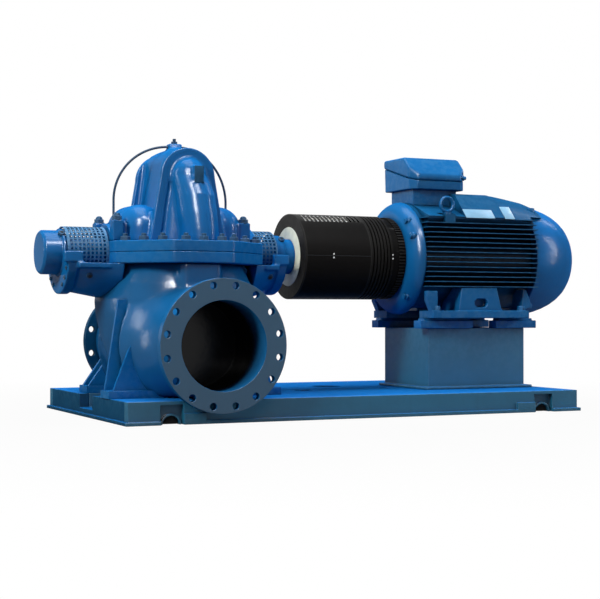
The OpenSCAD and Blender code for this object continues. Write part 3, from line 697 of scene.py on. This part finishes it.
slit_middles = [SLIT_FIRST + i * SLIT_PITCH for i in range(SLIT_COUNT)]
slits = [(middle - SLIT_HALF, middle + SLIT_HALF) for middle in slit_middles]
guard = bmesh.new()
vented_tube(guard, GUARD_ENDS, GUARD_RADII, slits, SLIT_WINDOWS)
piece("guard_vented", guard, "guard_black", replace=("guard_shell",))
sleeve = bmesh.new()
vented_tube(sleeve, SLEEVE_ENDS, SLEEVE_RADII)
piece("guard_sleeve", sleeve, "sleeve_grey")

seam = bmesh.new()
for side in (-1, 1):
    near, far = sorted(side * reach for reach in SEAM_REACH)
    block(seam, at(SEAM_ENDS[0], near, SHAFT_Z - SEAM_HALF), at(SEAM_ENDS[1], far, SHAFT_Z + SEAM_HALF), 0.2)
piece("guard_seam", seam, "void")
pins = bmesh.new()
for side in (-1, 1):
    for x, reach, rise in PINS:
        turned(pins, at(x, side * reach, SHAFT_Z + rise), (0, side, 0), PIN, sides=12)
piece("guard_pins", pins, "bright_screw")


# Bolts, bare plates and the lid's knob of the motor

END_BOLTS = [(1046, 226, turn) for turn in (45, 66, 139, -45, -66, -139)]
COWL_LUGS = ((1684, 256, 32), (1684, 256, -32), (1668, 248, 146), (1668, 248, -146))
FOOT_BOLT_XS = (1118, 1556)
FOOT_BOLT_Y = 252
FOOT_TOP = 435
END_SEAT = head(17, 24, 4, 3)
END_NUT_RISE = 0.023
LUG_LOW = Vector((-0.022, -0.02, -0.02))
LUG_HIGH = Vector((0.012, 0.02, 0.02))
LUG_NUT_RISE = 0.010
RIGHT = Vector((1, 0, 0))
motor_bolts = bmesh.new()
for spot in END_BOLTS:
    place = around(*spot)[0]
    turned(motor_bolts, place, LEFT, END_SEAT, sides=20)
    hex_nut(motor_bolts, place + LEFT * END_NUT_RISE, LEFT, across=22, height=11)
for spot in COWL_LUGS:
    place = around(*spot)[0]
    block(motor_bolts, place + LUG_LOW, place + LUG_HIGH, bevel=5)
    hex_nut(motor_bolts, place + RIGHT * LUG_NUT_RISE, RIGHT, across=20, height=10)
for x in FOOT_BOLT_XS:
    for side in (-1, 1):
        washer(motor_bolts, at(x, side * FOOT_BOLT_Y, FOOT_TOP), UP, radius=20)
        hex_nut(motor_bolts, at(x, side * FOOT_BOLT_Y, FOOT_TOP + 3), UP, across=30, height=18, spin=0.4)
piece("motor_bolts", motor_bolts, "motor_blue")

# Ends along X, then the lower and the upper edge as (y, height above the shaft) on the motor's sloping cover
PLATES = ((1275, 1424, (-248, 174.6), (-211, 214.4)),
          (1477, 1528, (-248, 174.6), (-194.5, 232.1)))
PLATE_SLOPE = math.atan2(100, 93)
PLATE_HALF_T = 0.0022
plates = bmesh.new()
for x0, x1, low, high in PLATES:
    length = math.dist(low, high)
    middle = at((x0 + x1) / 2, (low[0] + high[0]) / 2, SHAFT_Z + (low[1] + high[1]) / 2)
    half = Vector(((x1 - x0) / 2000, length / 2000, PLATE_HALF_T))
    block(plates, middle - half, middle + half, 1.0, Matrix.Rotation(PLATE_SLOPE, 3, "X"))
piece("bare_plates", plates, "plate")

LID_END = 1349
LID_HALF = 135
LID_CUT = 34
KNOB_Z = SHAFT_Z + 362
KNOB = [(-4, 0), (-4, 12), (7, 12), (9, 7), (13, 9), (17, 6), (18, 0)]
knob = bmesh.new()
turned(knob, at(LID_END - LID_CUT / 2, LID_CUT / 2 - LID_HALF, KNOB_Z), (1, -1, 0), KNOB, sides=16)
piece("lid_knob", knob, "motor_blue")


# Painted shade in the base's insides: dark plugs in its half-round holes and a dark bed under the deck, in
# metres

HOLE_X = 0.846
HOLE_R = 0.0325
HOLE_DEPTHS = ((-0.469, -0.463), (0.593, 0.599))
HOLE_LIFT = 0.0015
ARC_STEPS = 24
BED_BAYS = ((-0.97, -0.64), (-0.576, -0.032), (0.032, 0.576), (0.64, 0.97))
BED_FRONT, BED_BACK = -0.445, 0.575
BED_LOW, BED_HIGH = 0.004, 0.016


def half_shade_plug(bm, x, y0, y1):
    """A dark half disc that stands just above the floor, as painted shade in a hole."""
    arc = [math.pi * i / ARC_STEPS for i in range(ARC_STEPS + 1)]
    spots = [(x + HOLE_R * math.cos(a), HOLE_LIFT + HOLE_R * math.sin(a)) for a in arc]
    front, back = [[bm.verts.new((across, y, rise)) for across, rise in spots] for y in (y0, y1)]
    bm.faces.new(front)
    bm.faces.new(back)
    for i in range(len(spots)):
        j = (i + 1) % len(spots)
        bm.faces.new((front[i], front[j], back[j], back[i]))


shade_plugs = bmesh.new()
for x in (-HOLE_X, HOLE_X):
    for y0, y1 in HOLE_DEPTHS:
        half_shade_plug(shade_plugs, x, y0, y1)
piece("hole_shade", shade_plugs, "void")

# Painted shade: a dark bed under the deck darkens what shows through its holes
bed = bmesh.new()
for x0, x1 in BED_BAYS:
    block(bed, Vector((x0, BED_FRONT, BED_LOW)), Vector((x1, BED_BACK, BED_HIGH)), 1.0)
piece("base_shade_bed", bed, "void")


# Stage

FLOOR_HALF = 14
FLOOR_DROP = 0.001
FADE_REACH = (1.2, 3.2)
FADE_NEAR = 0.96


def node(tree, kind, inputs=None, operation=None):
    """A new node of a tree: an output given for an input is linked to it, and a value is set on it."""
    made = tree.nodes.new(kind)
    if operation:
        made.operation = operation
    for key, value in (inputs or {}).items():
        if isinstance(value, bpy.types.NodeSocket):
            tree.links.new(value, made.inputs[key])
        else:
            made.inputs[key].default_value = value
    return made


def larger(tree, first, second):
    return node(tree, "ShaderNodeMath", {0: first, 1: second}, "MAXIMUM").outputs[0]


def floor_look():
    """White to the camera and in gloss, with a little of the matte floor near the object for its shadow."""
    paint = bpy.data.materials.new("floor_white")
    paint.use_nodes = True
    tree = paint.node_tree
    tree.nodes.clear()
    rays = node(tree, "ShaderNodeLightPath").outputs
    seen = larger(tree, rays["Is Camera Ray"], rays["Is Glossy Ray"])
    place = node(tree, "ShaderNodeTexCoord").outputs["Object"]
    reach = node(tree, "ShaderNodeVectorMath", {0: place}, "LENGTH").outputs["Value"]
    ends = {"From Min": FADE_REACH[0], "From Max": FADE_REACH[1], "To Min": FADE_NEAR, "To Max": 1.0}
    fade = node(tree, "ShaderNodeMapRange", {"Value": reach, **ends}).outputs["Result"]
    share = node(tree, "ShaderNodeMath", {0: seen, 1: fade}, "MULTIPLY").outputs[0]
    matte = node(tree, "ShaderNodeBsdfDiffuse", {"Color": (0.16, 0.16, 0.16, 1)}).outputs[0]
    glow = node(tree, "ShaderNodeEmission", {"Strength": 1.0}).outputs[0]
    mix = node(tree, "ShaderNodeMixShader", {0: share, 1: matte, 2: glow}).outputs[0]
    node(tree, "ShaderNodeOutputMaterial", {"Surface": mix})
    return paint


ground = bmesh.new()
bmesh.ops.create_grid(ground, x_segments=1, y_segments=1, size=FLOOR_HALF)
ground_mesh = bpy.data.meshes.new("floor")
ground.to_mesh(ground_mesh)
ground.free()
ground_mesh.materials.append(floor_look())
floor = bpy.data.objects.new("floor", ground_mesh)
floor.location.z = -FLOOR_DROP
scene.collection.objects.link(floor)


# World and lamps

world = bpy.data.worlds.new("studio")
scene.world = world
world.use_nodes = True
sky = world.node_tree
sky.nodes.clear()
rays = node(sky, "ShaderNodeLightPath").outputs
shows = larger(sky, rays["Is Camera Ray"], rays["Is Transmission Ray"])
shows = larger(sky, shows, rays["Is Glossy Ray"])
white = node(sky, "ShaderNodeBackground", {"Color": (1, 1, 1, 1), "Strength": 1.0}).outputs[0]
fill = node(sky, "ShaderNodeBackground", {"Color": (1, 0.96, 0.86, 1), "Strength": 0.04}).outputs[0]
pick = node(sky, "ShaderNodeMixShader", {0: shows, 1: fill, 2: white}).outputs[0]
node(sky, "ShaderNodeOutputWorld", {"Surface": pick})


def lamp(name, place, aim, size, power, color=(1, 1, 1)):
    data = bpy.data.lights.new(name, "AREA")
    data.shape = "RECTANGLE"
    data.size, data.size_y = size
    data.energy = power
    data.color = color
    made = bpy.data.objects.new(name, data)
    made.location = place
    made.rotation_euler = (Vector(aim) - Vector(place)).to_track_quat("-Z", "Y").to_euler()
    scene.collection.objects.link(made)
    return made


WARM = (1, 0.92, 0.76)
SUNNY = (1, 0.94, 0.82)
COOL = (0.92, 0.98, 1)
lamp("top_light", (-0.5, 0.15, 4.6), (0, 0.1, 0.4), (4.0, 2.4), 280, COOL)
front_light = lamp("front_light", (1.2, -3.6, 3.9), (-0.3, 0, 0.7), (0.8, 1.2), 10, WARM)
left_light = lamp("left_light", (-7.0, -2.8, 4.8), (-0.2, 0, 0.6), (0.8, 2.6), 560, SUNNY)
for soft in (front_light, left_light):
    soft.visible_glossy = False
lamp("right_strip", (4.4, -2.0, 2.2), (0.4, 0, 0.7), (0.2, 2.0), 95)
lamp("rear_right_strip", (3.7, 0.6, 3.3), (0, 0, 0.7), (0.4, 1.5), 50)

# Cards that only show as gleams in the gloss: name, place, size, power
CARD_AIM = (0, 0, 0.7)
CARDS = (("front_card", (0.1, -3.4, 4.6), (1.8, 1.0), 420),
         ("left_card", (-5.0, 0.6, 2.7), (0.5, 1.8), 80),
         ("finger_card", (-2.2, -3.9, 3.0), (0.9, 2.4), 720),
         ("corner_card", (-5.0, 1.6, 0.8), (0.3, 1.4), 40),
         ("edge_card", (4.4, -2.6, 0.9), (0.3, 1.2), 32),
         ("rear_card", (-2.0, 4.8, 1.8), (2.5, 2.5), 60))
for name, place, size, power in CARDS:
    card = lamp(name, place, CARD_AIM, size, power)
    card.visible_diffuse = False
    card.visible_camera = False
